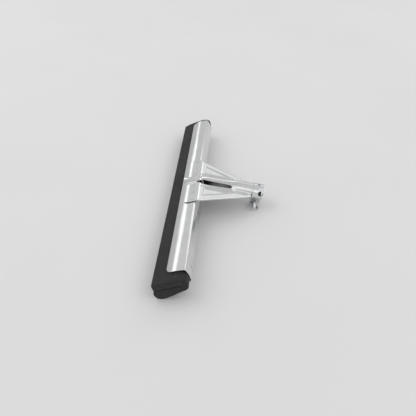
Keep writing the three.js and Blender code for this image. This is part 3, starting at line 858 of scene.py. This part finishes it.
# ---- collar, bolt, washer and wing nut -------------------------------------------------------
def collar_line():
    """The collar's inner face in (X, H): down one ear, round the socket and down the other."""
    ear = EAR_GAP / 2
    lowest = -BOLT_DROP - EAR_R
    meet = math.asin((ear + COLLAR_SHEET + 1.2) / COLLAR_R)
    start = -math.pi / 2 + meet
    ring = []
    for k in range(97):
        angle = start + k / 96 * (2 * math.pi - 2 * meet)
        ring.append((COLLAR_R * math.cos(angle), COLLAR_R * math.sin(angle)))
    fold = (ear, -COLLAR_R - 0.9)
    up_ear = straight((ear, lowest), (ear, fold[1] - 0.6), 10)
    into = quadratic(up_ear[-1], (ear, fold[1] + 0.5), ring[0], 6)
    half = [(ear, lowest)] + up_ear + into[:-1]
    mirrored = [(-x, h) for x, h in reversed(half)]
    return half + ring + mirrored


def ear_half_width(h):
    """Half the collar's width along the socket: it narrows to a half round down the ears."""
    full = COLLAR_LENGTH / 2
    shoulder = -BOLT_DROP + 3
    if h >= shoulder:
        return full
    t = (shoulder - h) / (shoulder + BOLT_DROP + EAR_R)
    return full * math.sqrt(max(1 - (0.985 * t) ** 2.4, 0.0))


def clamp_collar():
    line = collar_line()
    base = socket_matrix(0, BOLT_S, -SHEET)
    shares = [-1, -0.93, -0.75, -0.5, -0.25, 0, 0.25, 0.5, 0.75, 0.93, 1]
    verts = []
    for share in shares:
        for x, h in line:
            verts.append(base @ (Vector((x, share * ear_half_width(h), h)) * MM))
    obj = make("zinc_clamp_collar", verts, grid_faces(len(shares), len(line)), BRIGHT)
    face_out(obj, socket_point(0, BOLT_S, -SHEET))
    modifier(obj, "SOLIDIFY", thickness=COLLAR_SHEET * MM, offset=1)
    modifier(obj, "BEVEL", width=0.25 * MM, segments=2, limit_method="ANGLE", angle_limit=math.radians(60))
    apply_modifiers(obj)
    upright = Matrix.Rotation(math.pi / 2, 4, "Y")
    bolt_hole = round_cutter("cutter", BOLT_R + GAP, 16, base @ Matrix.Translation((0, 0, -BOLT_DROP * MM)))
    nail_hole = round_cutter("cutter", 1.8, 10, base @ Matrix.Translation((0, 0, TUBE_R * MM)) @ upright)
    cut(obj, bolt_hole, nail_hole, side_cutter(SIDE_HOLE_R))
    return finish_piece(obj, "head", "bright_steel", "clamp_collar")


def clamp_bolt():
    """A round-headed bolt whose thread is cut into the rows from its plain shank to its tip."""
    seat = -(EAR_OUTSIDE + GAP)
    profile = [(0.4, seat - 3.6), (1.6, seat - 3.55), (2.9, seat - 3.25), (4.1, seat - 2.6),
               (4.9, seat - 1.6), (5.25, seat - 0.7), (5.3, seat - 0.25), (5.1, seat), (3.2, seat),
               (BOLT_R, seat + 0.25)]
    start, end, steps = 5.4, BOLT_TIP, 10
    rows = [(r, x, 0.0) for r, x in profile] + [(BOLT_R, start - 0.4, 0.0)]
    count = int((end - start) / THREAD_PITCH * steps)
    for k in range(count + 1):
        x = start + k * THREAD_PITCH / steps
        taper = smooth((end - x) / 1.2) * 0.75 + 0.25
        radius = BOLT_R * (0.86 + 0.14 * taper) - (1 - taper) * 0.35
        rows.append((radius, x, THREAD_DEPTH * smooth((x - start) / 0.8)))
    rows.append((1.6, end, 0.0))
    segments = 40
    verts = []
    for radius, x, depth in rows:
        for k in range(segments):
            turn = k / segments
            phase = ((x / THREAD_PITCH) - turn) % 1.0
            r = radius - depth * (1 - abs(2 * phase - 1))
            angle = 2 * math.pi * turn
            verts.append(Vector((x, r * math.cos(angle), r * math.sin(angle))) * MM)
    faces = grid_faces(len(rows), segments, closed=True)
    faces += [tuple(range(segments)), tuple(range(len(verts) - segments, len(verts)))]
    obj = make("zinc_clamp_bolt", verts, faces, BRIGHT)
    obj.data.transform(socket_matrix(0, BOLT_S, -SHEET - BOLT_DROP))
    apply_modifiers(obj, 50)
    return finish_piece(obj, "head", "bright_steel", "clamp_bolt")


def clamp_washer():
    low = EAR_OUTSIDE + GAP
    high = low + 1.2
    bore, outer, soft = BOLT_R + GAP, 5.4, 0.18
    profile = [(bore, low), (outer - soft, low), (outer, low + soft), (outer, high - 2 * soft),
               (outer - soft, high - 0.5 * soft), (outer - 3 * soft, high), (bore, high)]
    obj = lathe("zinc_clamp_washer", profile, BRIGHT, 64, close=False)
    obj.data.transform(socket_matrix(0, BOLT_S, -SHEET - BOLT_DROP))
    apply_modifiers(obj, 30)
    return finish_piece(obj, "washer", "bright_steel", "clamp_washer")


def wing_nut():
    base = EAR_OUTSIDE + GAP + 1.2 + GAP
    boss = lathe("zinc_wing_nut", [(5.2, base), (5.35, base + 0.3), (5.3, base + 1.2), (4.7, base + 5.6),
                                   (4.3, base + 6.6), (3.7, base + 7)], CAST, 56)
    outline = [(base + 0.9, 2.0), (base + 0.9, 5.2)]
    outline += bezier(outline[-1], (base + 3, 6.8), (base + 5.5, 9.8), (base + 9.5, 9.8), 10)
    outline += bezier(outline[-1], (base + 13, 9.6), (base + 12.4, 6.5), (base + 9.4, 5.8), 10)
    outline += bezier(outline[-1], (base + 7.6, 5.4), (base + 7, 4.6), (base + 6.4, 2.0), 6)
    parts = [boss]
    for side in (1, -1):
        verts = []
        for face in (1, -1):
            for x, r in outline:
                thick = lerp(1.5, 0.85, smooth((r - 4) / 6))
                verts.append(Vector((x, side * r, face * thick)) * MM)
        count = len(outline)
        faces = grid_faces(2, count, closed=True) + [tuple(range(count)), tuple(range(count, 2 * count))]
        parts.append(make("wing", verts, faces, CAST))
    for wing in parts[1:]:
        modifier(boss, "BOOLEAN", operation="UNION", object=wing, solver="EXACT")
    apply_modifiers(boss)
    for wing in parts[1:]:
        bpy.data.objects.remove(wing)
    middle = (base + 5) * MM
    cut(boss, round_cutter("cutter", BOLT_R + GAP, 24, Matrix.Translation((middle, 0, 0))))
    modifier(boss, "REMESH", mode="VOXEL", voxel_size=0.24 * MM)
    modifier(boss, "SMOOTH", factor=0.5, iterations=6)
    turn = Matrix.Rotation(-math.radians(24), 4, "X")
    apply_modifiers(boss, 80)
    boss.data.transform(socket_matrix(0, BOLT_S, -SHEET - BOLT_DROP) @ turn)
    return finish_piece(boss, "wing_nut", "bright_steel", "wing_nut")


# ---- stage -----------------------------------------------------------------------------------
def floor():
    size, cells = 5.0, 8
    verts = [(lerp(-size, size, i / cells), lerp(-size, size, j / cells), 0.0)
             for j in range(cells + 1) for i in range(cells + 1)]
    n = Nodes("studio_floor")
    soft = n.noise(3, detail=2)
    n.link(n.ramp(soft, [(0.3, (0.82, 0.82, 0.82)), (0.7, (0.84, 0.84, 0.84))]), n.shader, "Base Color")
    n.shader.inputs["Roughness"].default_value = 0.9
    n.shader.inputs["Specular IOR Level"].default_value = 0.2
    obj = make("studio_floor", verts, grid_faces(cells + 1, cells + 1), n.material)
    if obj.data.polygons[0].normal.z < 0:
        obj.data.flip_normals()


def world():
    """A studio that is dim at the horizon and bright overhead."""
    made = bpy.data.worlds.new("studio")
    made.use_nodes = True
    tree = made.node_tree
    coord = tree.nodes.new("ShaderNodeTexCoord")
    split = tree.nodes.new("ShaderNodeSeparateXYZ")
    ramp = tree.nodes.new("ShaderNodeValToRGB")
    stops = [(0.0, 0.55), (0.21, 0.55), (0.5, 0.7), (0.66, 0.74), (0.87, 0.66), (1.0, 0.62)]
    while len(ramp.color_ramp.elements) < len(stops):
        ramp.color_ramp.elements.new(0.5)
    for element, (position, grey) in zip(ramp.color_ramp.elements, stops):
        element.position = position
        element.color = (grey, grey, grey, 1)
    tree.links.new(coord.outputs["Generated"], split.inputs["Vector"])
    tree.links.new(split.outputs["Z"], ramp.inputs["Fac"])
    tree.links.new(ramp.outputs["Color"], tree.nodes["Background"].inputs["Color"])
    tree.nodes["Background"].inputs["Strength"].default_value = 1.0
    scene.world = made


def toward(azimuth, elevation):
    """The point of the studio seen from the object at these angles, in degrees."""
    a, e = math.radians(azimuth), math.radians(elevation)
    return Vector((math.cos(e) * math.cos(a), math.cos(e) * math.sin(a), math.sin(e))) * STUDIO_R


def panel(name, start, end, height, radiance):
    """A soft light panel facing the object: its middle line runs between two directions."""
    start, end = toward(*start), toward(*end)
    middle = (start + end) / 2
    across = (end - start).normalized()
    back = middle.normalized()
    turn = Matrix((across, back.cross(across), back)).transposed().to_4x4()
    light = bpy.data.lights.new(name, "AREA")
    light.shape = "RECTANGLE"
    light.size = (end - start).length
    light.size_y = 2 * STUDIO_R * math.tan(math.radians(height / 2))
    light.energy = radiance * math.pi * light.size * light.size_y
    obj = bpy.data.objects.new(name, light)
    scene.collection.objects.link(obj)
    obj.matrix_world = Matrix.Translation(middle) @ turn


def lights():
    """Panels that draw the bright bands on the ridge and bend, and wider ones that fill the rest."""
    panel("ridge_low", (197, 13), (206, 18.5), 5, 0.75)
    panel("ridge_middle", (206, 18), (215, 25), 10, 0.85)
    panel("ridge_high", (215, 23.5), (231, 31), 14, 0.85)
    panel("bend", (172, 39), (192, 39), 14, 0.75)
    panel("back", (158, 37), (172, 37), 18, 0.25)
    panel("back_low", (134, 26), (157, 26), 26, 0.8)
    panel("left", (235, 48), (285, 48), 34, 1.05)
    panel("right", (55, 45), (105, 45), 30, 0.75)
    panel("front", (5, 30), (27, 30), 36, 0.45)


def camera():
    data = bpy.data.cameras.new("camera")
    data.sensor_width = 36
    data.lens = 41.54
    data.clip_start = 0.01
    obj = bpy.data.objects.new("camera", data)
    scene.collection.objects.link(obj)
    right = Vector((-0.07191, 0.99741, 0.0))
    up = Vector((-0.62701, -0.04521, 0.77770))
    forward = Vector((-0.77568, -0.05593, -0.62864))
    turn = Matrix((right, up, -forward)).transposed().to_4x4()
    obj.matrix_world = Matrix.Translation((0.6649, 0.03105, 0.5257)) @ turn
    scene.camera = obj


camera()
foam_blade()
blade_channel()
bracket_upper()
bracket_lower()
clamp_collar()
clamp_bolt()
clamp_washer()
wing_nut()
floor()
world()
lights()
scene.view_settings.view_transform = "Standard"
